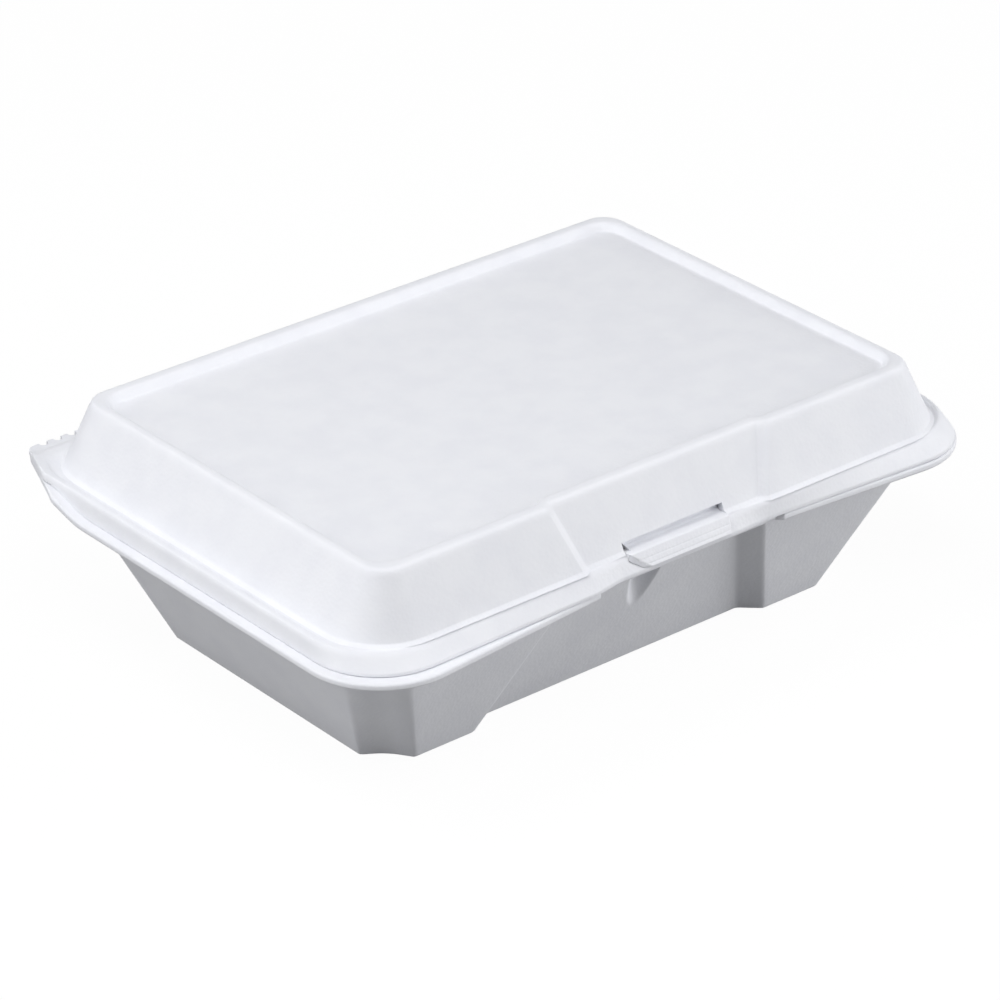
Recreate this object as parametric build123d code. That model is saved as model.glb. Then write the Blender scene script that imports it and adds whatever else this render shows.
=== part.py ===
from build123d import *
from math import atan2, sqrt, tan
import os

# Foam clamshell food container, closed. Millimetres, X along the front, Y to the hinge, Z up.

# Sheet and clearances
length = 236.0
sheet = 2.3
wall_run = 2.5
brim_run = 2.2
clearance = 0.3
overrun = 6.0
least_round = 1.0

# Tray, at the floor
tray_half_x = 87.5
tray_half_y = 54.0
tray_draft = 0.434
tray_corner = 11.0
tray_flute = 1.6
tray_corner_round = 4.0
tray_flute_round = 18.0
tray_foot_round = 1.2
recess_outer_x = 55.4
recess_inner_x = 49.5
recess_draft = 0.42
recess_depth = 5.4
recess_round = 2.0
floor_thick = 2.4
floor_rise = 0.8
floor_rim = 13.0
floor_slope = 2.0

# Rim of the tray
parting_z = 51.2
flange_drop = 3.6
flange_top = parting_z - flange_drop
flange_front_left = 88.5
flange_front_right = 85.2
flange_front_mid = 78.8
flange_corner_round = 24.5
flange_end_back = 59.3
flange_back_round = 4.0
hinge_y = 85.5
hinge_half = 107.8
hinge_round = 3.0
notch_left = 31.0
notch_right = 39.5
notch_y = 77.0
notch_slant = 2.0
notch_round = 0.6
rim_step_y = 45.0
rim_step_run = 19.0
lip_bevel = 1.4
lip_drop = 0.7

# Thumb recess under the latch
thumb_x = -1.5
thumb_radius = 6.0
thumb_bottom = 24.0

# Lid wall and top
ledge_rise = 2.3
foot_rise = 1.0
brim_top = parting_z + ledge_rise
lid_foot_z = brim_top + foot_rise
lid_foot_half_x = 109.0
lid_foot_half_y = 77.0
lid_foot_round = 18.5
lid_rise = 17.5
lid_top_z = lid_foot_z + lid_rise
lid_top_half_x = 100.0
lid_top_half_y = 69.0
lid_top_round = 8.0
crest_rise = 0.8
crest_z = lid_top_z + crest_rise
crest_inset = 1.5
panel_drop = 1.7
panel_z = lid_top_z - panel_drop
panel_half_x = 94.6
panel_half_y = 62.5
panel_round = 5.0
panel_slope = 1.1
lid_recess = 1.9
lid_recess_foot = 31.5
lid_recess_top = 37.5
lid_recess_run = 4.0
lid_recess_round = 1.2

# Brim of the lid
brim_inset = 2.9
skirt_drop = 3.3
brim_edge_z = parting_z - skirt_drop
brim_shoulder_x = 114.3
brim_shoulder_y = 78.4
brim_shoulder_dip = 77.7
brim_shoulder_mid = 76.6
brim_corner_round = 22.0
brim_edge_left = 82.4
brim_edge_right = 80.9
brim_edge_dip = 78.2
brim_edge_mid = 79.2
brim_dip_x = 33.0
brim_mid_x = 22.0
brim_dip_round = 5.0
groove_depth = 0.9
groove_width = 3.4
groove_tilt = 0.5
fold_run = 4.5
fold_slope = 1.2
fold_drop = 0.9

# Latch
slot_left = 18.4
slot_right = 19.1
slot_rise = 1.9
slot_top = lid_foot_z + slot_rise
tongue_thick = 2.2
tongue_gap = 0.4
tongue_lift = 1.6
tongue_end_z = brim_edge_z + tongue_lift
tongue_cut_left = 7.4
tongue_cut_right = 1.3

# Hinge perforation
bite_pitch = 5.0
bite_radius = 1.4
bite_inset = 0.5
bite_margin = 3.0

half = length / 2
os.makedirs("parts", exist_ok=True)


def closed(points, radii, z):
    wire = FilletPolyline(*[(x, y, z) for x, y in points], radius=radii, close=True)
    return Face(Wire(wire.edges()))


def ruled(*faces):
    return Solid.make_loft([face.outer_wire() for face in faces], True)


def stacked(*faces):
    solid = ruled(faces[0], faces[1])
    for low, high in zip(faces[1:], faces[2:]):
        solid = solid.fuse(ruled(low, high))
    return solid


# Plan of the tray wall at a height, moved inwards by an inset
def tray_face(z, inset=0, at=None):
    at = z if at is None else at
    a = tray_half_x + tray_draft * at - inset
    b = tray_half_y + tray_draft * at - inset
    c = tray_corner - inset * (2 - sqrt(2))
    lean = inset * tan(atan2(recess_depth, recess_outer_x - recess_inner_x) / 2)
    outer = recess_outer_x - recess_draft * at + lean
    inner = recess_inner_x - recess_draft * at + lean
    dip = (c + tray_flute * sqrt(2)) / 2
    right = [(outer, -b), (a - c, -b), (a - dip, dip - b), (a, c - b)]
    right += [(a, b - c), (a - dip, b - dip), (a - c, b)]
    left = [(-x, y) for x, y in reversed(right)]
    sharp = max(tray_corner_round - inset, least_round)
    soft = tray_flute_round + inset
    corner = [sharp, soft, sharp]
    step = max(recess_round - inset, recess_round / 4)
    rounds = [step] + corner + corner + corner + corner + [step]
    ends = [recess_round + inset, recess_round + inset]
    centre = [(-inner, recess_depth - b), (inner, recess_depth - b)]
    return closed(right + left + centre, rounds + ends, z)


# Outline of the tray flange, with the notch in front of the latch
def flange_face(z, inset=0):
    a = half - inset
    end = flange_end_back
    hinge = hinge_half - clearance - inset
    left = flange_front_left - inset
    right = flange_front_right - inset
    mid = flange_front_mid - inset
    notch = notch_y - inset
    points = [(a, end), (hinge, hinge_y), (-hinge, hinge_y), (-a, end), (-a, -left)]
    points += [(-notch_left, -mid), (notch_slant - notch_left, -notch)]
    points += [(notch_right - notch_slant, -notch), (notch_right, -mid), (a, -right)]
    big, small, bend = flange_back_round, flange_corner_round - inset, notch_round
    radii = [big, hinge_round, hinge_round, big, small, bend, bend, bend, bend, small]
    return closed(points, radii, z)


# Plan of the lid wall: a rounded rectangle with the recessed middle in front
def lid_face(z, a, b, corner, inner, inset=0):
    lean = inset * tan(atan2(lid_recess, lid_recess_run) / 2)
    x1 = inner + lean
    x2 = x1 + lid_recess_run
    a, b = a - inset, b - inset
    back = b
    points = [(a, back), (-a, back), (-a, -b), (-x2, -b)]
    points += [(-x1, lid_recess - b), (x1, lid_recess - b), (x2, -b), (a, -b)]
    r = max(corner - inset, least_round)
    s = lid_recess_round
    return closed(points, [r, r, r, s, s, s, s, r], z)


def lid_wall_at(z, inset=0, at=None):
    at = z if at is None else at
    share = (at - lid_foot_z) / (lid_top_z - lid_foot_z)
    a = lid_foot_half_x + (lid_top_half_x - lid_foot_half_x) * share
    b = lid_foot_half_y + (lid_top_half_y - lid_foot_half_y) * share
    r = lid_foot_round + (lid_top_round - lid_foot_round) * share
    inner = lid_recess_foot + (lid_recess_top - lid_recess_foot) * share
    return lid_face(z, a, b, r, inner, inset)


# Outlines of the lid brim at its shoulder and at its lower edge
def brim_face(z, a, left, right, dip, mid, corner, inset=0):
    hinge = hinge_half - inset
    slant = (hinge_y - flange_end_back) / (half - hinge_half)
    back = hinge_y - (a - hinge_half) * slant
    points = [(a - inset, back), (hinge, hinge_y), (-hinge, hinge_y)]
    points += [(inset - a, back), (inset - a, inset - left)]
    points += [(-brim_dip_x, inset - dip), (-brim_mid_x, inset - mid)]
    points += [(brim_mid_x, inset - mid), (brim_dip_x, inset - dip), (a - inset, inset - right)]
    big, r, bend = flange_back_round, corner - inset, brim_dip_round
    return closed(points, [big, hinge_round, hinge_round, big, r, bend, bend, bend, bend, r], z)


def shoulder(z, inset=0):
    a, y, r = brim_shoulder_x, brim_shoulder_y, brim_corner_round
    return brim_face(z, a, y, y, brim_shoulder_dip, brim_shoulder_mid, r, inset)


def edge(z, inset=0):
    a, r = half - brim_inset, brim_corner_round
    return brim_face(z, a, brim_edge_left, brim_edge_right, brim_edge_dip, brim_edge_mid, r, inset)


# A cut or slab whose section in YZ is the same all along X
def slab(points):
    face = make_face(Polyline(*[(0, y, z) for y, z in points], close=True).edges())
    reach = half + overrun
    return extrude(face, amount=reach, dir=(1, 0, 0), both=True)


def bites():
    reach = hinge_half - bite_margin
    count = int(reach / bite_pitch + 1 / 2)
    tall = parting_z + overrun
    spots = [((i + 1 / 2) * bite_pitch, hinge_y - bite_inset) for i in range(-count, count)]
    return [Pos(x, y, tall / 2 + floor_thick) * Cylinder(bite_radius, tall) for x, y in spots]


def flange():
    low = flange_top - sheet
    tray_top = parting_z - clearance / 2
    y1, y2 = rim_step_y, rim_step_y + rim_step_run
    back = hinge_y + overrun
    profile = [(-half, low), (y1, low), (y2, tray_top - sheet), (back, tray_top - sheet)]
    profile += [(back, tray_top), (y2, tray_top), (y1, flange_top), (-half, flange_top)]
    prism = extrude(flange_face(0), amount=parting_z)
    return slab(profile) & prism


def thumb(radius, tall):
    wall = tray_half_y - recess_depth + tray_draft * thumb_bottom
    return Pos(thumb_x, -(wall + thumb_radius), tall / 2) * Cylinder(radius, tall)


def tray_shell():
    top = parting_z - clearance / 2
    lip = top - lip_drop
    foot = tray_foot_round
    body = stacked(
        tray_face(0, foot, 0),
        tray_face(foot),
        tray_face(lip - lip_bevel),
        tray_face(lip, lip_bevel),
    )
    inside = ruled(tray_face(floor_thick + floor_rise, wall_run), tray_face(top + overrun, wall_run))
    shell = (body + flange()) - inside
    shell = shell + (thumb(thumb_radius + sheet, flange_top) & body)
    return shell - thumb(thumb_radius, flange_top - sheet) - floor_panel()


def floor_panel():
    low = Rectangle(2 * (tray_half_x - floor_rim), 2 * (tray_half_y - floor_rim))
    small = floor_rim + floor_slope
    high = Rectangle(2 * (tray_half_x - small), 2 * (tray_half_y - small))
    low = fillet(low.vertices(), floor_rim)
    high = fillet(high.vertices(), floor_rim - floor_slope)
    return ruled(low.face(), Pos(0, 0, floor_rise) * high.face())


# Distance of the sloping brim from the middle plane behind the tongue
def brim_slope(z):
    lean = (brim_edge_mid - brim_shoulder_mid) / (brim_top - brim_edge_z)
    return brim_shoulder_mid + lean * (brim_top - z)


# Strip that stands up from the flange, goes out through the slot and lies on the brim
def tongue():
    low = flange_top - sheet / 2
    rise = parting_z + clearance * 3 / 2
    top = rise + tongue_thick
    end = tongue_end_z
    root = lid_foot_half_y - lid_recess - wall_run - clearance
    skin = tongue_gap + tongue_thick
    section = [(tongue_thick - root, low), (tongue_thick - root, top), (-brim_slope(top) - skin, top)]
    section += [(-brim_slope(end) - skin, end), (-brim_slope(end) - tongue_gap, end)]
    section += [(-brim_slope(rise) - tongue_gap, rise), (-root, rise), (-root, low)]
    face = make_face(Polyline(*[(0, y, z) for y, z in section], close=True).edges())
    return extrude(face, amount=half, both=True) & tongue_plan(brim_slope(rise), brim_slope(end) + skin)


def tongue_plan(knee, front):
    left, right = slot_left - clearance, slot_right - clearance
    points = [(-left, 0), (-left, -knee), (tongue_cut_left - left, -front - clearance)]
    points += [(right - tongue_cut_right, -front - clearance), (right, -knee), (right, 0)]
    return extrude(make_face(Polyline(*points, close=True).edges()), amount=crest_z)


def brim():
    body = ruled(edge(brim_edge_z), shoulder(brim_top))
    under = parting_z + clearance / 2
    hollow = ruled(edge(brim_edge_z - overrun, brim_run), edge(brim_edge_z, brim_run))
    hollow = hollow + ruled(edge(brim_edge_z, brim_run), shoulder(under, brim_run))
    y1, y2 = rim_step_y, rim_step_y + rim_step_run
    low, back = brim_edge_z - overrun, hinge_y + overrun
    wedge = slab([(y1, low), (y1, brim_edge_z), (y2, under), (back, under), (back, low)])
    return body - hollow - wedge - groove() - fold_press()


# The strip along the fold is pressed thinner than the rest of the brim
def fold_press():
    y1, y2 = hinge_y - fold_run - fold_slope, hinge_y - fold_run
    low, high, back = brim_top - fold_drop, brim_top + overrun, hinge_y + overrun
    return slab([(y1, high), (y1, brim_top), (y2, low), (back, low), (back, high)])


# Shallow valley between the wall and the raised edge at both ends, fading to the front
def groove():
    a, b, r = lid_foot_half_x, lid_foot_half_y, lid_foot_round
    wide = groove_width
    deep = brim_top - groove_depth
    tall = brim_top + groove_depth
    outer = stacked(
        lid_face(deep, a + wide / 2, b, r, lid_recess_foot),
        lid_face(tall, a + wide, b, r, lid_recess_foot),
    )
    return outer.rotate(Axis((0, lid_foot_half_y / 2, brim_top), (1, 0, 0)), -groove_tilt)


def lid_shell():
    under = parting_z + clearance / 2
    outer = stacked(
        lid_wall_at(brim_top - sheet / 2, 0, lid_foot_z),
        lid_wall_at(lid_foot_z),
        lid_wall_at(lid_top_z),
        lid_wall_at(crest_z, crest_inset, lid_top_z),
    )
    dish = ruled(
        lid_face(panel_z, panel_half_x, panel_half_y, panel_round, lid_recess_top),
        lid_face(crest_z + clearance, panel_half_x + panel_slope, panel_half_y + panel_slope,
                 panel_round + panel_slope, lid_recess_top),
    )
    cavity = stacked(
        lid_wall_at(under - overrun, wall_run, lid_foot_z),
        lid_wall_at(lid_foot_z, wall_run),
        lid_wall_at(crest_z - sheet, wall_run),
    )
    block = extrude(
        lid_face(panel_z - sheet, panel_half_x + sheet, panel_half_y + sheet,
                 panel_round + sheet, lid_recess_top),
        amount=crest_z - panel_z,
    )
    lid = (brim() + outer - dish) - (cavity - block)
    wide = slot_left + slot_right
    tall = slot_top - under
    middle = (slot_right - slot_left) / 2
    slot = Pos(middle, -lid_foot_half_y, under + tall / 2) * Box(wide, overrun * 2, tall)
    return lid - slot


tray = tray_shell() + tongue() - bites()
lid = lid_shell() - bites()
span = tray.bounding_box()
centred = Pos(0, -(span.min.Y + span.max.Y) / 2, 0)
tray = centred * tray
lid = centred * lid
export_step(tray, "parts/tray.step")
export_step(lid, "parts/lid.step")
for name, shape in (("tray", tray), ("lid", lid)):
    box = shape.bounding_box()
    print(name, len(shape.solids()), round(shape.volume), box.min, box.max)
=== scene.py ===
import math
import bpy
import bmesh
import numpy as np
from mathutils import Matrix, Vector


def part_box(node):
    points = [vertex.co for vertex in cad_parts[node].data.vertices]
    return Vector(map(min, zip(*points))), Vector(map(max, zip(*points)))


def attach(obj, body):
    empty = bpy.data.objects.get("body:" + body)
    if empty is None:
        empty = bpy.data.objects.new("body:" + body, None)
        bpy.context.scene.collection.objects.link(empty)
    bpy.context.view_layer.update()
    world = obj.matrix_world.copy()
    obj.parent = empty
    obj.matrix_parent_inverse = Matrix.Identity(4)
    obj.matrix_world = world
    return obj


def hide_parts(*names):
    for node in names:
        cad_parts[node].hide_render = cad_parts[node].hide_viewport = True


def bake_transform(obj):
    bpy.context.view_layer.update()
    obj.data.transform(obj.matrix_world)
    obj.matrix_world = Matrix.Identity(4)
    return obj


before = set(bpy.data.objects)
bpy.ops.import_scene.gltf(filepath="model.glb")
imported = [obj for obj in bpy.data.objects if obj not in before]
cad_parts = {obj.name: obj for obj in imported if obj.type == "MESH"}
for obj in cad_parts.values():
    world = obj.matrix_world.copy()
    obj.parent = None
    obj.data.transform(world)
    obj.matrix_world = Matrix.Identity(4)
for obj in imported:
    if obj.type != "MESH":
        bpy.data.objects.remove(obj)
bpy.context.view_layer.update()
print("frame loaded")

mm = 0.001
hingeY = 85.5  # the fold line, measured from the middle of the lid's walls
foldHeight = 51.2
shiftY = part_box("tray")[1].y / mm - hingeY  # the frame is centred on the closed box
foldGap = 0.15
draftTop = 50  # height of the tray's upper outline, from which its draft is worked out
nearRim = 0.9  # share of draftTop at which the walls come near the rim
cornerSteps = 12
leastReach = 0.05  # shortest run of a rounded corner
middleShares = (0.3, 0.6, 0.97)  # rings across a flat panel, from its middle out


# Outlines: each group is a list of (x, y, radius) corners, sampled by a fixed count,
# so that every ring of one shell has matching points
def roundedPath(before, corners, after):
    points = []
    chain = [before] + corners + [after]
    for last, here, following in zip(chain, chain[1:], chain[2:]):
        p = Vector(here[:2])
        toLast = (Vector(last[:2]) - p).normalized()
        toNext = (Vector(following[:2]) - p).normalized()
        halfTurn = (math.pi - toLast.angle(toNext)) / 2
        reach = max(here[2] * math.tan(halfTurn), leastReach)
        weight = math.cos(halfTurn)
        start, end = p + toLast * reach, p + toNext * reach
        for k in range(cornerSteps + 1):
            s = k / cornerSteps
            a, b, c = (1 - s) ** 2, 2 * weight * s * (1 - s), s * s
            points.append((start * a + p * b + end * c) / (a + b + c))
    return np.array([tuple(p) for p in points])


def evenly(path, count):
    steps = np.hypot(*np.diff(path, axis=0).T)
    along = np.concatenate([[0], np.cumsum(steps)])
    wanted = np.linspace(0, along[-1], count)
    return np.stack([np.interp(wanted, along, path[:, i]) for i in (0, 1)], 1)


def outline(groups, counts, runs):
    parts = []
    for i, (corners, count) in enumerate(zip(groups, counts)):
        before, after = groups[i - 1][-1], groups[(i + 1) % len(groups)][0]
        if count == 1:
            parts.append(np.array([corners[0][:2]], float))
        else:
            parts.append(evenly(roundedPath(before, corners, after), count))
    loop = []
    for i, (part, run) in enumerate(zip(parts, runs)):
        shares = np.array(run)[:, None]
        here, there = part[-1], parts[(i + 1) % len(parts)][0]
        loop += [part, here + (there - here) * shares]
    return np.concatenate(loop)


def shares(cells):
    return [k / cells for k in range(1, cells)]


def mirrored(corners):
    return [(-x, y, r) for x, y, r in reversed(corners)]


# Both halves of the hinge strip share this perforation
perforation = dict(
    pitch=5.0, radius=1.4, inset=0.5, count=21, steps=(0, 0.45, 0.85, 1.15), wall=0.05, endMargin=0.6,
    near=0.01, overrun=0.2, behind=0.05,
)  # steps are the places across a bite, behind is the foam kept between a bite and the next ring
biteHalf = math.sqrt(perforation["radius"] ** 2 - perforation["inset"] ** 2)


def hingeShares(halfRun):
    p = perforation
    steps = list(p["steps"]) + [biteHalf, biteHalf + p["wall"], p["pitch"] / 2]
    places = set()
    for i in range(-p["count"], p["count"]):
        middle = (i + 0.5) * p["pitch"]
        for step in steps:
            places |= {round(middle + step, 4), round(middle - step, 4)}
    ordered = [x for x in sorted(places, reverse=True) if abs(x) < halfRun - p["endMargin"]]
    return [(halfRun - x) / (2 * halfRun) for x in ordered]


def alongHinge(outer):
    end = perforation["pitch"] * perforation["count"] + perforation["overrun"]
    return (outer[:, 1] > hingeY - perforation["near"]) & (np.abs(outer[:, 0]) < end)


def bitten(ring, outer):  # the points stay above one another, so each bite is cut straight down
    pitch, radius = perforation["pitch"], perforation["radius"]
    ring = ring.copy()
    x, along = outer[:, 0], alongHinge(outer)
    off = np.abs(x - pitch * (np.floor(x / pitch) + 0.5))
    inside = along & (off <= biteHalf + perforation["near"])
    depth = perforation["inset"] + np.sqrt(np.maximum(radius ** 2 - off ** 2, 0))
    ring[:, 0] = np.where(along, x, ring[:, 0])
    ring[:, 1] = np.where(inside, np.minimum(ring[:, 1], hingeY - depth), ring[:, 1])
    return ring


def rooted(ring, outer):  # straight run behind the bites, so that no face slants across one
    root = hingeY - perforation["inset"] - perforation["radius"] - perforation["behind"]
    x = np.where(alongHinge(outer), outer[:, 0], ring[:, 0])
    return np.column_stack([x, np.minimum(ring[:, 1], root)])


def mix(a, b, share):
    share = np.asarray(share, float)
    return a + (b - a) * (share[:, None] if share.ndim else share)


def smooth(t):
    t = np.clip(t, 0, 1)
    return t * t * (3 - 2 * t)


def placed(ring, z):
    return np.column_stack([ring, np.broadcast_to(z, len(ring))])


def shellObject(name, rings, holes=None):
    count = len(rings[0])
    places = np.concatenate(rings) * mm
    places[:, 1] += shiftY * mm
    mesh = bpy.data.meshes.new(name)
    faces = [tuple(range(count))[::-1]]
    for i in range(len(rings) - 1):
        for j in range(count):
            if holes and holes(i, j):
                continue
            k = (j + 1) % count
            faces.append((i * count + j, i * count + k, (i + 1) * count + k, (i + 1) * count + j))
    last = (len(rings) - 1) * count
    faces.append(tuple(range(last, last + count)))
    mesh.from_pydata(places.tolist(), [], faces)
    piece = bpy.data.objects.new(name, mesh)
    bpy.context.scene.collection.objects.link(piece)
    return piece


sharpEdge = 50  # degrees: the bites and the slot keep crisp edges, rounded stretches stay smooth


def finishedPiece(piece, material, body, node=None):
    mesh = piece.data
    bm = bmesh.new()
    bm.from_mesh(mesh)
    bmesh.ops.recalc_face_normals(bm, faces=bm.faces)
    loose = [v for v in bm.verts if not v.link_faces]
    bmesh.ops.delete(bm, geom=loose, context="VERTS")
    bm.to_mesh(mesh)
    bm.free()
    mesh.shade_smooth()
    mesh.set_sharp_from_angle(angle=math.radians(sharpEdge))
    mesh.materials.append(material)
    weighted = piece.modifiers.new("weighted", "WEIGHTED_NORMAL")
    weighted.keep_sharp = True
    weighted.weight = 50
    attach(piece, body)
    if node:
        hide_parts(node)
    return piece


# Foam skin: matte white, faintly mottled, with fine cells and soft ripples
foamLook = dict(
    colour=(0.80, 0.81, 0.85, 1),
    shade=(0.775, 0.785, 0.83, 1),
    roughness=0.62,
    specular=0.32,
    mottleScale=95,
    mottleDetail=4,
    mottleFrom=0.35,
    mottleTo=0.62,
    cellScale=900,
    cells=0.15,
    cellDepth=0.0003,
    rippleScale=60,
    rippleDetail=3,
    ripple=0.10,
    rippleDepth=0.002,
)


def foamMaterial():
    material = bpy.data.materials.new("foamSkin")
    material.use_nodes = True
    nodes, links = material.node_tree.nodes, material.node_tree.links
    skin = nodes["Principled BSDF"]
    skin.inputs["Roughness"].default_value = foamLook["roughness"]
    skin.inputs["Specular IOR Level"].default_value = foamLook["specular"]
    coords = nodes.new("ShaderNodeTexCoord")
    mottle = nodes.new("ShaderNodeTexNoise")
    mottle.inputs["Scale"].default_value = foamLook["mottleScale"]
    mottle.inputs["Detail"].default_value = foamLook["mottleDetail"]
    ramp = nodes.new("ShaderNodeValToRGB")
    ramp.color_ramp.elements[0].position = foamLook["mottleFrom"]
    ramp.color_ramp.elements[1].position = foamLook["mottleTo"]
    ramp.color_ramp.elements[0].color = foamLook["shade"]
    ramp.color_ramp.elements[1].color = foamLook["colour"]
    cell = nodes.new("ShaderNodeTexVoronoi")
    cell.inputs["Scale"].default_value = foamLook["cellScale"]
    wave = nodes.new("ShaderNodeTexNoise")
    wave.inputs["Scale"].default_value = foamLook["rippleScale"]
    wave.inputs["Detail"].default_value = foamLook["rippleDetail"]
    fine = nodes.new("ShaderNodeBump")
    fine.inputs["Strength"].default_value = foamLook["cells"]
    fine.inputs["Distance"].default_value = foamLook["cellDepth"]
    broad = nodes.new("ShaderNodeBump")
    broad.inputs["Strength"].default_value = foamLook["ripple"]
    broad.inputs["Distance"].default_value = foamLook["rippleDepth"]
    for texture in (mottle, cell, wave):
        links.new(coords.outputs["Object"], texture.inputs["Vector"])
    links.new(mottle.outputs["Fac"], ramp.inputs["Fac"])
    links.new(ramp.outputs["Color"], skin.inputs["Base Color"])
    links.new(cell.outputs["Distance"], fine.inputs["Height"])
    links.new(wave.outputs["Fac"], broad.inputs["Height"])
    links.new(broad.outputs["Normal"], fine.inputs["Normal"])
    links.new(fine.outputs["Normal"], skin.inputs["Normal"])
    return material


foam = foamMaterial()
print("foam ready")

# Tray, in millimetres like the moulded part
tray = dict(
    halfX=87.5, halfY=54.0, draft=0.434, corner=11.0, flute=1.6, sharp=1.5, softening=0.12, soft=18.0,
    footRound=0.9, recessOuter=55.4, recessInner=49.5, recessDraft=0.42, recessDepth=5.4,
    recessRound=2.0, wall=2.5, floor=3.2, panelInset=13.0, panelRise=0.8, panelSlope=2.0, panelEase=0.08,
    panelFoot=0.06, innerRound=0.6, innerRoundShare=0.25, floorRound=4.0, floorReach=16.0, shelfGap=3.0,
    shelfRound=11.0, shelfRise=0.5, shelfLift=0.02, stepRound=1.0, hingeRun=105.45,
)
trayWallShares = list(np.linspace(0.03, 0.48, 12))
trayWallShares += list(np.linspace(0.50, 1, 26))  # closer together along the finger recess
trayInsideShares = list(np.linspace(0.03, 0.55, 20)) + list(np.linspace(0.6, 1, 6))
rim = dict(
    half=118.0, top=47.6, thick=2.3, frontLeft=88.5, frontRight=85.2, frontMid=78.8, farMid=80.2,
    frontRound=24.5, backEnd=59.3, backRound=4.0, hingeHalf=107.5, hingeRound=3.0, notchLeft=31.0,
    notchRight=39.5, notchY=77.0, slant=2.0, notchRound=0.6, stepY=45.0, stepRun=19.0, lipTop=50.35,
    bevel=1.4, edgeRound=0.8, curl=1.4, hingeShift=0.15,
)
thumb = dict(
    x=-0.6, radius=7.6, deep=2.2, bottom=24.0, margin=2.5, lean=0.04, edge=0.2, below=0.9, fade=1.0,
    insideFade=1.6,
)
trayCounts = [14, 26, 26, 26, 26, 14, 1, 1]
trayRuns = [shares(18), shares(44), hingeShares(tray["hingeRun"]), shares(44), shares(18)]
trayRuns += [shares(14), shares(34), shares(14)]


def thumbMarks(y):  # where the finer spacing round the finger recess starts and ends
    reach = thumb["radius"] + thumb["margin"]
    return [[(thumb["x"] - reach, y, 0)], [(thumb["x"] + reach, y, 0)]]


def trayWall(z, inset=0.0):
    t = tray
    a, b = t["halfX"] + t["draft"] * z - inset, t["halfY"] + t["draft"] * z - inset
    c = t["corner"] - inset * (2 - math.sqrt(2))
    lean = inset * math.tan(math.atan2(t["recessDepth"], t["recessOuter"] - t["recessInner"]) / 2)
    outer = t["recessOuter"] - t["recessDraft"] * z + lean
    inner = t["recessInner"] - t["recessDraft"] * z + lean
    dip = (c + t["flute"] * math.sqrt(2)) / 2
    tight = t["sharp"] + t["softening"] * z
    sharp, soft, r = max(tight - inset, 1), t["soft"] + inset, t["recessRound"]
    step = [(inner, t["recessDepth"] - b, r + inset), (outer, -b, max(r - inset, 0.5))]
    front = [(a - c, -b, sharp), (a - dip, dip - b, soft), (a, c - b, sharp)]
    back = [(a, b - c, sharp), (a - dip, b - dip, soft), (a - c, b, sharp)]
    groups = [step, front, back, mirrored(back), mirrored(front), mirrored(step)]
    return outline(groups + thumbMarks(t["recessDepth"] - b), trayCounts, trayRuns)


def flangeOutline(inset=0.0):
    r = rim
    a, hinge = r["half"] - inset, r["hingeHalf"] - r["hingeShift"] * inset
    step = [(r["notchRight"] - r["slant"], inset - r["notchY"], r["notchRound"])]
    step += [(r["notchRight"], inset - r["frontMid"], r["notchRound"])]
    other = [(-r["notchLeft"], inset - r["farMid"], r["notchRound"])]
    other += [(r["slant"] - r["notchLeft"], inset - r["notchY"], r["notchRound"])]
    front = [(a, inset - r["frontRight"], r["frontRound"] - inset)]
    farFront = [(-a, inset - r["frontLeft"], r["frontRound"] - inset)]
    back = [(a, r["backEnd"], r["backRound"]), (hinge, hingeY, r["hingeRound"])]
    groups = [step, front, back, mirrored(back), farFront, other] + thumbMarks(inset - r["notchY"])
    return outline(groups, trayCounts, trayRuns)


def floorPanel(halfX, halfY, radius):
    step = [(tray[side], -halfY, tray["stepRound"]) for side in ("recessInner", "recessOuter")]
    front, back = [(halfX, -halfY, radius)], [(halfX, halfY, radius)]
    groups = [step, front, back, mirrored(back), mirrored(front), mirrored(step)] + thumbMarks(-halfY)
    return outline(groups, trayCounts, trayRuns)


def rise(y):  # how far the rim has climbed from the front level to the hinge level
    return smooth((y - rim["stepY"]) / rim["stepRun"])


def softer(a, b, width):  # the larger of two, with the crease between them eased
    d = np.clip(0.5 + (a - b) / (2 * width), 0, 1)
    return b + (a - b) * d + width * d * (1 - d)


def thumbed(ring, z, radius, top, fade):
    wallY = tray["halfY"] - tray["recessDepth"] + tray["draft"] * thumb["bottom"]
    centre = -(wallY + thumb["radius"] * thumb["deep"]) - thumb["lean"] * (z - thumb["bottom"])
    off = np.clip(np.abs(ring[:, 0] - thumb["x"]) / radius, 0, 1)
    pushed = centre + (radius + thumb["radius"] * (thumb["deep"] - 1)) * np.sqrt(1 - off ** 2)
    share = smooth((top - z) / fade)
    ring = ring.copy()
    y = ring[:, 1]
    near = (off < 1) & (y < 0)
    ring[:, 1] = np.where(near, y + (softer(pushed, y, thumb["edge"]) - y) * share, y)
    return ring


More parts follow.
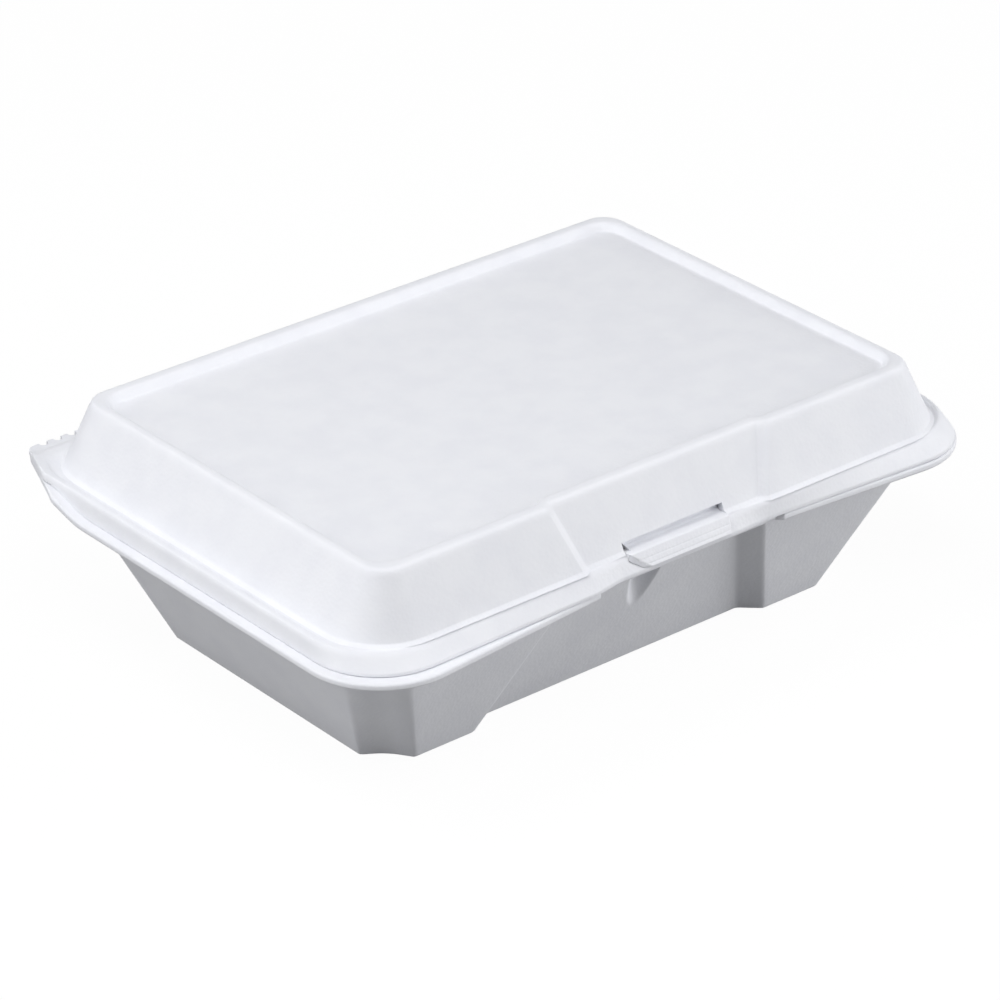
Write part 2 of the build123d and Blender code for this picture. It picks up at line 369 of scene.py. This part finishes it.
def trayRings():
    r, t = rim, tray
    low, high = trayWall(0), trayWall(draftTop)
    lowIn, highIn = trayWall(0, t["wall"]), trayWall(draftTop, t["wall"])
    rings = []

    # underside, from its middle out to the foot
    flat = floorPanel(t["halfX"] - t["panelInset"], t["halfY"] - t["panelInset"], t["panelInset"])
    small = t["panelInset"] + t["panelSlope"]
    inner = floorPanel(t["halfX"] - small, t["halfY"] - small, t["panelInset"] - t["panelSlope"])
    for share in middleShares:
        rings.append(placed(inner * share, t["panelRise"]))
    rings.append(placed(inner, t["panelRise"] - t["panelEase"]))
    rings.append(placed(mix(inner, flat, 0.5), t["panelRise"] / 2))
    rings.append(placed(flat, t["panelFoot"]))
    foot = trayWall(0, t["footRound"])
    rings += [placed(mix(flat, foot, s), 0) for s in (0.06, 0.5)]
    for turn in np.linspace(0, 90, 6):
        z = t["footRound"] * (1 - math.cos(math.radians(turn)))
        inset = t["footRound"] * (1 - math.sin(math.radians(turn)))
        rings.append(placed(trayWall(z, inset), z))

    # outer wall up to the rim, with the finger recess pressed in
    curl, soft = r["curl"], r["edgeRound"]
    thumbTop = r["top"] - thumb["below"]
    climb = foldHeight - foldGap - r["top"]
    under = r["top"] - r["thick"] + climb * rise(mix(low, high, nearRim)[:, 1])
    for share in trayWallShares:
        z = t["footRound"] + share * (under - curl - t["footRound"])
        ring = mix(low, high, z / draftTop)
        rings.append(placed(thumbed(ring, z, thumb["radius"], thumbTop, thumb["fade"]), z))
    edge = flangeOutline()
    climbed = r["top"] + climb * rise(high[:, 1])
    wallTop = mix(low, high, (climbed - r["thick"]) / draftTop)
    away = edge - wallTop
    away /= np.maximum(np.hypot(*away.T), 0.01)[:, None]
    for turn in (30, 60, 90):
        grow = curl * (1 - math.cos(math.radians(turn)))
        ring = wallTop + away * grow
        under = r["top"] - r["thick"] + climb * rise(ring[:, 1])
        z = under - curl * (1 - math.sin(math.radians(turn)))
        rings.append(placed(thumbed(ring, z, thumb["radius"], thumbTop, thumb["fade"]), z))
    inside = flangeOutline(soft)
    flat = [mix(wallTop + away * curl, inside, share) for share in (0.4, 0.75)]
    flat += [rooted(inside, edge), bitten(inside, edge)]
    for ring in flat:
        rings.append(placed(ring, r["top"] - r["thick"] + climb * rise(ring[:, 1])))
    for side in (-1, 1):
        for turn in ((25, 50, 75, 90) if side < 0 else (0, 25, 50, 75)):
            a = math.radians(turn)
            out = soft * (math.sin(a) if side < 0 else math.cos(a))
            lift = soft * (1 - math.cos(a)) if side < 0 else r["thick"] - soft * (1 - math.sin(a))
            ring = bitten(mix(inside, edge, out / soft), edge)
            rings.append(placed(ring, r["top"] - r["thick"] + lift + climb * rise(ring[:, 1])))

    # top of the rim, the standing lip and the inside
    lipFoot = mix(low, high, climbed / draftTop)
    lipTop = lambda y: r["lipTop"] + (foldHeight - foldGap - r["lipTop"]) * rise(y)
    heights = lipTop(high[:, 1]) / draftTop
    crest, crestIn = mix(low, high, heights), mix(lowIn, highIn, heights)
    flat = [bitten(inside, edge), rooted(inside, edge)]
    flat += [mix(inside, lipFoot, share) for share in (0.22, 0.6, 0.93)]
    for ring in flat:
        rings.append(placed(ring, r["top"] + climb * rise(ring[:, 1])))
    for share in (0.15, 0.4, 0.55):
        z = (r["top"] + climb * rise(lipFoot[:, 1])) * (1 - share) + lipTop(lipFoot[:, 1]) * share
        rings.append(placed(mix(low, high, z / draftTop), z))
    for turn in (20, 45, 70, 90):
        a = math.radians(turn)
        inset = r["bevel"] * (1 - math.cos(a))
        ring = mix(crest, crestIn, inset / t["wall"])
        z = lipTop(ring[:, 1]) - r["bevel"] * (1 - math.sin(a)) * (1 - rise(ring[:, 1]))
        rings.append(placed(ring, z))
    for turn in (0, 45, 90):
        a = math.radians(turn)
        ring = mix(crest, crestIn, 1 - t["innerRoundShare"] * (1 - math.sin(a)))
        rings.append(placed(ring, lipTop(ring[:, 1]) - t["innerRound"] * (1 - math.cos(a))))
    curve = t["floorRound"]
    top = lipTop(mix(lowIn, highIn, nearRim)[:, 1]) - t["innerRound"]
    reach = thumb["radius"] + r["thick"]
    for share in trayInsideShares:
        z = top + share * (t["floor"] + curve - top)
        ring = mix(lowIn, highIn, z / draftTop)
        rings.append(placed(thumbed(ring, z, reach, r["top"], thumb["insideFade"]), z))
    wallFoot = mix(lowIn, highIn, (t["floor"] + curve) / draftTop)
    shelf = floorPanel(t["halfX"] - small, t["halfY"] - small - t["shelfGap"], t["shelfRound"])
    for turn in (20, 40, 60, 80):
        a = math.radians(turn)
        ring = mix(wallFoot, shelf, curve * (1 - math.cos(a)) / t["floorReach"])
        rings.append(placed(ring, t["floor"] + curve * (1 - math.sin(a))))
    for share in (0.35, 0.65):
        rings.append(placed(mix(wallFoot, shelf, share), t["floor"] + t["shelfLift"]))
    rings.append(placed(shelf, t["floor"] + t["shelfRise"]))
    for share in reversed(middleShares):
        rings.append(placed(shelf * share, t["floor"] + t["panelRise"]))
    return rings


trayPiece = finishedPiece(shellObject("foam_tray", trayRings()), foam, "tray", "tray")
print("tray made", len(trayPiece.data.polygons))

# Lid, in millimetres
lid = dict(
    footZ=54.5, footX=109.0, footY=77.0, footRound=18.5, topZ=72.0, topX=100.0, topY=69.0, topRound=8.0,
    crest=72.8, crestShare=0.7, panelZ=70.3, panelX=94.6, panelY=62.5, panelRound=5.0, panelEdge=1.4,
    recess=1.9, recessFoot=32.1, recessTop=38.1, recessRun=2.8, recessRound=0.8, recessInShare=0.2,
    wall=2.5, sheet=2.3, wallTop=70.6, hingeRun=105.75, ceilingEdge=0.6, crestUnder=0.1,
    ceilingSteps=((0.2, 0.6), (0.4, 2.1)), ceilingEase=0.15, innerLevels=(54.5, 53.4, 52.3), innerFoot=0.45,
    crestRoll=((0.0, 71.3), (0.12, 71.9), (0.45, 72.35), (0.95, 72.65), (1.6, 72.8)),
    crestFall=((2.9, 72.76), (2.55, 72.66), (2.2, 72.47), (1.85, 72.2), (1.5, 71.86), (1.1, 71.35),
               (0.7, 70.8), (0.45, 70.5), (0.15, 70.36), (-0.4, 70.31)),
)
brim = dict(
    top=53.5, bottom=47.68, half=115.1, farHalf=116.2, hingeHalf=107.8, left=82.9, right=84.0,
    farDip=81.0, dip=78.6, mid=79.2, cut=0.95, shoulderX=114.3, shoulderY=78.4, shoulderDip=77.7,
    shoulderMid=76.6, round=22.0, dipX=33.0, midX=22.0, dipRound=5.0, thick=2.2, edgeRound=0.2,
    edgeRoundShare=0.8, pressFrom=5.7, pressRun=1.2, press=0.9, foldRise=0.35, bend=1.0, bendRunShare=0.8,
    bendDropShare=0.6, ledgeShares=(0.28, 0.34, 0.4, 0.5, 0.62, 0.72), hingeShift=0.15,
    footSteps=((-0.95, 0), (-0.8, 0.04), (-0.2, 0.6), (0, 0.8), (0, 1.0)), footOnLedge=-0.5,
)
groove = dict(depth=0.5, startShare=0.22, runShare=0.28, front=-80, frontRun=30, back=70, backRun=6)
slot = dict(left=-18.4, right=19.1, top=56.4, step=1.0, low=55.4, above=1.2)
lidCounts = [14, 26, 26, 26, 26, 14, 1, 1]
lidRuns = [shares(24), shares(46), hingeShares(lid["hingeRun"]), shares(46), shares(24)]
lidRuns += [shares(8), shares(38), shares(8)]


def lidLoop(a, b, corner, x1, x2, depth):
    step = [(x1, depth - b, lid["recessRound"]), (x2, -b, lid["recessRound"])]
    front, back = [(a, -b, corner)], [(a, b, corner)]
    marks = [[(slot["left"], depth - b, 0)], [(slot["right"], depth - b, 0)]]
    groups = [step, front, back, mirrored(back), mirrored(front), mirrored(step)] + marks
    return outline(groups, lidCounts, lidRuns)


def lidWall(z, inset=0.0):
    t = lid
    s = (z - t["footZ"]) / (t["topZ"] - t["footZ"])
    a = t["footX"] + (t["topX"] - t["footX"]) * s - inset
    b = t["footY"] + (t["topY"] - t["footY"]) * s - inset
    r = t["footRound"] + (t["topRound"] - t["footRound"]) * s - inset
    x1 = t["recessFoot"] + (t["recessTop"] - t["recessFoot"]) * s + inset * t["recessInShare"]
    return lidLoop(a, b, max(r, 1), x1, x1 + t["recessRun"], t["recess"])


def lidPanel(grow=0.0):
    t = lid
    a, b, r = t["panelX"] + grow, t["panelY"] + grow, max(t["panelRound"] + grow, 1)
    return lidLoop(a, b, r, t["recessTop"], t["recessTop"] + t["recessRun"], t["recess"])


def brimLoop(a, farA, left, right, dips, mid, inset):
    b = brim
    hinge = b["hingeHalf"] - b["hingeShift"] * inset
    slant = (hingeY - rim["backEnd"]) / (rim["half"] - b["hingeHalf"])
    step = [(b["midX"], inset - mid, b["dipRound"]), (b["dipX"], inset - dips[1], b["dipRound"])]
    farStep = [(-b["dipX"], inset - dips[0], b["dipRound"]), (-b["midX"], inset - mid, b["dipRound"])]
    corner = [(farA - inset, inset - right, b["round"] - inset)]
    farCorner = [(inset - a, inset - left, b["round"] - inset)]
    ends = [hingeY - (x - b["hingeHalf"]) * slant for x in (a, farA)]
    hingeCorner = (hinge, hingeY, rim["hingeRound"])
    back = [(farA - inset, ends[1], rim["backRound"]), hingeCorner]
    farBack = mirrored([(a - inset, ends[0], rim["backRound"]), hingeCorner])
    marks = [[(slot["left"], inset - mid, 0)], [(slot["right"], inset - mid, 0)]]
    groups = [step, corner, back, farBack, farCorner, farStep] + marks
    return outline(groups, lidCounts, lidRuns)


def skirtEdge(inset=0.0):
    b = brim
    dips = (b["farDip"], b["dip"])
    return brimLoop(b["half"], b["farHalf"], b["left"], b["right"], dips, b["mid"], inset)


def shoulder(inset=0.0):
    x, y, dip = brim["shoulderX"], brim["shoulderY"], brim["shoulderDip"]
    return brimLoop(x, x, y, y, (dip, dip), brim["shoulderMid"], inset)


def lidRings():
    t, b = lid, brim
    rings, marks = [], {}
    under = foldHeight + foldGap

    # inside of the lid, from the middle of its ceiling out and down
    ceiling, crestIn = t["panelZ"] - t["sheet"], t["crest"] - t["sheet"]
    block = lidPanel(t["sheet"])
    for share in middleShares:
        rings.append(placed(block * share, ceiling))
    rings.append(placed(block, ceiling + t["ceilingEase"]))
    for grow, lift in t["ceilingSteps"]:
        edge = lidPanel(t["sheet"] + grow)
        rings.append(placed(edge, ceiling + lift))
    rings.append(placed(mix(edge, lidWall(crestIn, t["wall"]), 0.5), crestIn - t["crestUnder"]))
    for z in np.linspace(crestIn - t["ceilingEdge"], slot["top"] + slot["step"], 9):
        rings.append(placed(lidWall(z, t["wall"]), z))

    # inner side of the slot region: wall, ledge underside and skirt
    inFoot = lidWall(t["footZ"], t["wall"])
    marks["inTop"] = len(rings)
    for z in (slot["top"], slot["low"]):
        rings.append(placed(lidWall(z, t["wall"]), z))
    rings += [placed(inFoot, z) for z in (*t["innerLevels"], under + t["innerFoot"])]
    skirtIn, edgeOut = shoulder(b["thick"]), skirtEdge()
    rings.append(placed(mix(inFoot, skirtIn, 0.25), under))
    marks["inLow"] = len(rings)
    rings.append(placed(rooted(mix(inFoot, skirtIn, 0.92), edgeOut), under))
    bottom = lambda y: b["bottom"] + (under - b["bottom"]) * rise(y)
    span = b["top"] - b["bottom"]
    edgeIn, topOut = skirtEdge(b["thick"]), shoulder()

    def flare(z):  # the cut edge stands upright, the brim slopes above it
        return np.clip((z - b["bottom"] - b["cut"]) / (span - b["cut"]), 0, 1)

    for share in (0.12, 0.5, 0.92):
        low = bottom(edgeIn[:, 1])
        z = under + (low - under) * share
        ring = mix(edgeIn, skirtIn, (z - b["bottom"]) / (under - b["bottom"]))
        rings.append(placed(rooted(ring, edgeOut), z))
    soft, out = b["edgeRound"], under + b["foldRise"]
    for turn in (0, 30, 60, 90, 120, 150, 180):
        a = math.radians(turn)
        share = 0.5 - 0.5 * math.cos(a) if 0 < turn < 180 else turn / 180
        inset = b["thick"] / 2 + (b["thick"] / 2) * math.cos(a)
        lift = soft * (1 - math.sin(a)) * b["edgeRoundShare"]
        ringLow, ringHigh = skirtEdge(inset), shoulder(inset)
        low = bottom(ringLow[:, 1])
        z = low + lift
        ring = mix(ringLow, ringHigh, flare(z))
        rings.append(placed(bitten(ring, edgeOut), z))

    # outer side, from the skirt over the ledge to the wall
    def skirtAt(z):
        return bitten(mix(edgeOut, topOut, flare(z)), edgeOut)

    def pressed(y):
        return b["press"] * smooth((y - hingeY + b["pressFrom"]) / b["pressRun"])

    for share in (0.12, 0.22, 0.28, 0.45, 0.7):
        low = bottom(edgeOut[:, 1]) + soft
        z = low + (out - low) * share
        rings.append(placed(skirtAt(z), z))
    marks["outLow"] = len(rings)
    rings.append(placed(skirtAt(out), out))
    bend = b["bend"]
    ring = skirtAt(b["top"] - bend)
    rings.append(placed(ring, b["top"] - bend - pressed(ring[:, 1])))
    wallFoot = lidWall(b["top"])
    for turn in (35, 65, 90):
        a = math.radians(turn)
        ring = bitten(shoulder(bend * (1 - math.cos(a)) * b["bendRunShare"]), edgeOut)
        drop = bend * (1 - math.sin(a)) * b["bendDropShare"]
        rings.append(placed(ring, b["top"] - drop - pressed(ring[:, 1])))
    ledge = shoulder(bend * b["bendRunShare"])
    root = rooted(ledge, edgeOut)
    rings.append(placed(root, b["top"] - pressed(root[:, 1])))

    def sunk(y):  # the groove runs along both ends and fades out towards the front and the hinge
        g = groove
        begun, ended = smooth((y - g["front"]) / g["frontRun"]), smooth((y - g["back"]) / g["backRun"])
        return g["depth"] * begun * (1 - ended)

    for share in b["ledgeShares"]:
        ring = mix(ledge, wallFoot, share)
        y = ring[:, 1]
        valley = sunk(y) * smooth((share - groove["startShare"]) / groove["runShare"])
        rings.append(placed(ring, b["top"] - valley - pressed(y)))
    for inset, lift in b["footSteps"]:  # crisp fillet, whose first two steps lie on the pressed ledge
        z = b["top"] + lift - sunk(wallFoot[:, 1])
        ring = mix(lidWall(b["top"] - 1, inset), lidWall(b["top"] + 1, inset), (z - b["top"] + 1) / 2)
        rings.append(placed(ring, z - (pressed(ring[:, 1]) if inset < b["footOnLedge"] else 0)))
    marks["outTop"] = len(rings)
    rings.append(placed(lidWall(slot["top"]), slot["top"]))
    for z in np.linspace(slot["top"] + slot["above"], t["wallTop"], 9):
        rings.append(placed(lidWall(z), z))

    # rolled crest and the sunken panel
    for inset, z in t["crestRoll"]:
        rings.append(placed(lidWall(min(z, t["topZ"]), inset), z))
    rolled, fall = lidWall(t["topZ"], t["crestRoll"][-1][0]), lidPanel(t["crestFall"][0][0])
    rings.append(placed(mix(rolled, fall, t["crestShare"]), t["crest"]))
    rings += [placed(lidPanel(grow), z) for grow, z in t["crestFall"]]
    panel = lidPanel(-t["panelEdge"])
    for share in (1, 0.85, 0.6, 0.3):
        rings.append(placed(panel * share, t["panelZ"]))
    return rings, marks


def lidShell():
    rings, marks = lidRings()
    count = len(rings[0])
    slotGroup = len(lidCounts) - 2  # the last two groups mark the ends of the slot
    first = sum(lidCounts[:slotGroup]) + sum(len(r) for r in lidRuns[:slotGroup])
    last = first + 1 + len(lidRuns[slotGroup])
    rows = {"in": (marks["inTop"], marks["inLow"]), "out": (marks["outLow"], marks["outTop"])}

    def hole(i, j):
        if not first <= j < last:
            return False
        return rows["in"][0] <= i < rows["in"][1] or rows["out"][0] <= i < rows["out"][1]

    piece = shellObject("foam_lid", rings, hole)
    bm = bmesh.new()
    bm.from_mesh(piece.data)
    bm.verts.ensure_lookup_table()
    inner = list(range(rows["in"][0], rows["in"][1] + 1))
    outer = list(range(rows["out"][1], rows["out"][0] - 1, -1))

    def around(levels):
        top = [(levels[0], j) for j in range(first, last)]
        right = [(i, last) for i in levels[:-1]]
        low = [(levels[-1], j) for j in range(last, first, -1)]
        left = [(i, first) for i in reversed(levels[1:])]
        return [bm.verts[i * count + j] for i, j in top + right + low + left]

    a, b = around(inner), around(outer)
    for k in range(len(a)):
        n = (k + 1) % len(a)
        bm.faces.new((a[k], a[n], b[n], b[k]))
    bm.to_mesh(piece.data)
    bm.free()
    return piece


lidPiece = finishedPiece(lidShell(), foam, "lid", "lid")
print("lid made", len(lidPiece.data.polygons))

# Latch tongue: it stands on the rim behind the slot and lies down over the brim
tongue = dict(
    thick=2.2, gap=0.15, skin=1.1, root=72.3, foot=46.5, rise=51.65, end=49.15, left=18.3, right=18.95,
    cutLeft=7.4, cutRight=1.3, clear=0.3, crease=0.14, softness=0.25, stand=56.9, shelf=56.0, front=76.0,
    faceTop=55.6, hooks=(-0.2, 1.1, 1.4, 2.2, 2.5, 3.3), shelfRise=0.6, fillFrom=75.0, fillTop=0.05,
    fillLow=0.15,
    levelShares=(0, 0.15, 0.40, 0.46, 0.52, 0.72, 0.78, 0.84, 1), creaseShares=(0.46, 0.78),
    columnShares=(0, 0.1, 0.25, 0.4, 0.6, 0.75, 0.9, 1), bevelAngle=35,
)


def brimSlope(z):
    lean = (brim["mid"] - brim["shoulderMid"]) / (brim["top"] - brim["bottom"] - brim["cut"])
    return brim["shoulderMid"] + lean * (brim["top"] - z)


def tongueSection():  # a hook on the rim, then the skin that lies over the brim
    t = tongue
    top, skin = t["rise"] + t["thick"], t["gap"] + t["skin"]
    outer = []
    for share in t["levelShares"]:
        z = top + (t["end"] - top) * share
        sunk = t["crease"] if share in t["creaseShares"] else 0
        outer.append((sunk - brimSlope(z) - skin, z))
    inner = [(-brimSlope(z) - t["gap"], z) for z in (t["end"], t["rise"])]
    behind = [(-t["root"], t["rise"]), (-t["root"], t["foot"])]
    back = t["thick"] - t["root"]
    levels = (t["stand"], t["stand"], t["shelf"], t["faceTop"], top + t["shelfRise"], top)
    stand = [(back, t["foot"])] + [(back - out, z) for out, z in zip(t["hooks"], levels)]
    return stand + [(-t["front"], top)] + outer + inner + behind


def skinColumns(bm, columns):  # closes a row of equal outlines into one body
    for a, b in zip(columns, columns[1:]):
        for i in range(len(a)):
            k = (i + 1) % len(a)
            bm.faces.new((a[i], a[k], b[k], b[i]))
    bm.faces.new(columns[0][::-1])
    bm.faces.new(columns[-1])


def tonguePiece():
    t = tongue
    knee = brimSlope(t["rise"])
    front = brimSlope(t["end"]) + t["gap"] + t["skin"] + t["clear"]
    bm = bmesh.new()
    columns = []
    for share in t["columnShares"]:
        column = []
        for y, z in tongueSection():
            past = min(max((-y - knee) / (front - knee), 0), 1)
            left, right = t["cutLeft"] * past - t["left"], t["right"] - t["cutRight"] * past
            x = left + (right - left) * share
            column.append(bm.verts.new((x * mm, (y + shiftY) * mm, z * mm)))
        columns.append(column)
    skinColumns(bm, columns)

    # lower layer, which fills the slot where it cuts the shoulder of the brim
    high, low = brim["top"] - t["fillTop"], t["rise"] + t["fillLow"]
    section = [(-t["fillFrom"], high), (-brimSlope(high), high)]
    section += [(-brimSlope(low), low), (-t["fillFrom"], low)]
    ends = (-t["left"], t["right"])
    skinColumns(bm, [[bm.verts.new((x * mm, (y + shiftY) * mm, z * mm)) for y, z in section] for x in ends])
    mesh = bpy.data.meshes.new("foam_tongue")
    bm.to_mesh(mesh)
    bm.free()
    piece = bpy.data.objects.new("foam_tongue", mesh)
    bpy.context.scene.collection.objects.link(piece)
    rounded = piece.modifiers.new("rounded", "BEVEL")
    rounded.width = t["softness"] * mm
    rounded.segments = 3
    rounded.angle_limit = math.radians(t["bevelAngle"])
    return piece


finishedPiece(tonguePiece(), foam, "tray")
print("tongue made")

# Foam left between the bites of the hinge, built as a fixed row of thin tabs; on the real box this strip
# bends when the lid opens
tabs = dict(low=50.25, high=52.15, levels=9, outside=0.12, thick=0.5, margin=0.12, end=105.3)


def hingeTabs():
    t, pitch, count = tabs, perforation["pitch"], perforation["count"]
    spans = []
    for i in range(1 - count, count):
        left, right = i * pitch - pitch / 2, i * pitch + pitch / 2
        spans.append((left + biteHalf + t["margin"], right - biteHalf - t["margin"]))
    first = pitch * (count - 0.5) + biteHalf + t["margin"]
    spans += [(first, t["end"]), (-t["end"], -first)]
    bm = bmesh.new()
    for left, right in spans:
        columns = []
        for x, y in ((left, -t["thick"]), (left, 0), (right, 0), (right, -t["thick"])):
            column = []
            for z in np.linspace(t["low"], t["high"], t["levels"]):
                place = (x * mm, (hingeY + t["outside"] + y + shiftY) * mm, z * mm)
                column.append(bm.verts.new(place))
            columns.append(column)
        for a, b in zip(columns, columns[1:] + columns[:1]):
            for i in range(t["levels"] - 1):
                bm.faces.new((a[i], a[i + 1], b[i + 1], b[i]))
        bm.faces.new([column[0] for column in columns])
        bm.faces.new([column[-1] for column in columns])
    mesh = bpy.data.meshes.new("foam_hinge")
    bmesh.ops.recalc_face_normals(bm, faces=bm.faces)
    bm.to_mesh(mesh)
    bm.free()
    mesh.materials.append(foam)
    piece = bpy.data.objects.new("foam_hinge", mesh)
    bpy.context.scene.collection.objects.link(piece)
    y = (hingeY + shiftY) * mm
    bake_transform(piece)


hingeTabs()
print("hinge made")

# Camera at the photograph's viewpoint
camera = dict(
    place=(-773.785, -931.483, 677.991), azimuth=39.696, elevation=28.027, roll=-0.147, lens=168.690,
    sensor=36, near=0.05, far=50,
)


def makeCamera():
    a, e, r = (math.radians(camera[k]) for k in ("azimuth", "elevation", "roll"))
    ahead = Vector((math.sin(a) * math.cos(e), math.cos(a) * math.cos(e), -math.sin(e)))
    right = Vector((math.cos(a), -math.sin(a), 0))
    up = right.cross(ahead)
    right, up = right * math.cos(r) + up * math.sin(r), up * math.cos(r) - right * math.sin(r)
    data = bpy.data.cameras.new("camera")
    data.sensor_width, data.lens = camera["sensor"], camera["lens"]
    data.clip_start, data.clip_end = camera["near"], camera["far"]
    eye = bpy.data.objects.new("camera", data)
    bpy.context.scene.collection.objects.link(eye)
    x, y, z = camera["place"]
    turn = Matrix((right, up, -ahead)).transposed().to_4x4()
    eye.matrix_world = Matrix.Translation(Vector((x, y + shiftY, z)) * mm) @ turn
    bpy.context.scene.camera = eye


makeCamera()

# Studio: pale floor, white surround and six broad lamps
studio = dict(
    floorSize=6.0,
    floorLevel=-0.0002,
    floorColour=(0.25, 0.25, 0.25, 1),
    floorRoughness=0.9,
    glow=1.13,
    glowShare=0.85,
    surround=0.0,
    aim=(0, 0, 0.04),
    lampSize=1.0,
    lamps=[
        ("highBack", (-0.758, 0.4375, 1.516), 13.0),
        ("highFront", (-0.4375, -0.758, 1.516), 11.7),
        ("leftSide", (-1.434, 0.0, 1.004), 7.4),
        ("lowLeft", (-1.712, 0.0, 0.364), 4.7),
        ("lowFront", (0.856, -1.482, 0.364), 6.9),
        ("lowRight", (1.482, -0.856, 0.364), 16.7),
    ],
)


def aimedLamp(name, place, power):
    data = bpy.data.lights.new(name, "AREA")
    data.shape = "DISK"
    data.size = studio["lampSize"]
    data.energy = power
    lamp = bpy.data.objects.new(name, data)
    lamp.location = place
    lamp.rotation_euler = (Vector(studio["aim"]) - Vector(place)).to_track_quat("-Z", "Y").to_euler()
    bpy.context.scene.collection.objects.link(lamp)


def seenDirectly(nodes, links):
    path = nodes.new("ShaderNodeLightPath")
    first = nodes.new("ShaderNodeMath")
    first.operation = "MAXIMUM"
    second = nodes.new("ShaderNodeMath")
    second.operation = "MAXIMUM"
    links.new(path.outputs["Is Camera Ray"], first.inputs[0])
    links.new(path.outputs["Is Glossy Ray"], first.inputs[1])
    links.new(first.outputs[0], second.inputs[0])
    links.new(path.outputs["Is Transmission Ray"], second.inputs[1])
    return second.outputs[0]


def makeSurround():
    world = bpy.data.worlds.new("surround")
    bpy.context.scene.world = world
    world.use_nodes = True
    nodes, links = world.node_tree.nodes, world.node_tree.links
    back = nodes["Background"]
    back.inputs["Color"].default_value = (1, 1, 1, 1)
    level = nodes.new("ShaderNodeMapRange")
    level.inputs["To Min"].default_value = studio["surround"]
    level.inputs["To Max"].default_value = 1.0
    links.new(seenDirectly(nodes, links), level.inputs["Value"])
    links.new(level.outputs["Result"], back.inputs["Strength"])


def makeFloor():
    bpy.ops.mesh.primitive_plane_add(size=studio["floorSize"], location=(0, 0, studio["floorLevel"]))
    floor = bpy.context.object
    floor.name = "floor"
    material = bpy.data.materials.new("paleFloor")
    material.use_nodes = True
    nodes, links = material.node_tree.nodes, material.node_tree.links
    surface = nodes["Principled BSDF"]
    surface.inputs["Base Color"].default_value = studio["floorColour"]
    surface.inputs["Roughness"].default_value = studio["floorRoughness"]
    glow = nodes.new("ShaderNodeEmission")
    glow.inputs["Strength"].default_value = studio["glow"]
    blend = nodes.new("ShaderNodeMixShader")
    share = nodes.new("ShaderNodeMath")
    share.operation = "MULTIPLY"
    share.inputs[1].default_value = studio["glowShare"]
    links.new(seenDirectly(nodes, links), share.inputs[0])
    links.new(share.outputs[0], blend.inputs["Fac"])
    links.new(surface.outputs["BSDF"], blend.inputs[1])
    links.new(glow.outputs["Emission"], blend.inputs[2])
    links.new(blend.outputs["Shader"], nodes["Material Output"].inputs["Surface"])
    floor.data.materials.append(material)


makeSurround()
makeFloor()
for lamp in studio["lamps"]:
    aimedLamp(*lamp)
bpy.context.scene.view_settings.view_transform = "Standard"
print("studio ready")
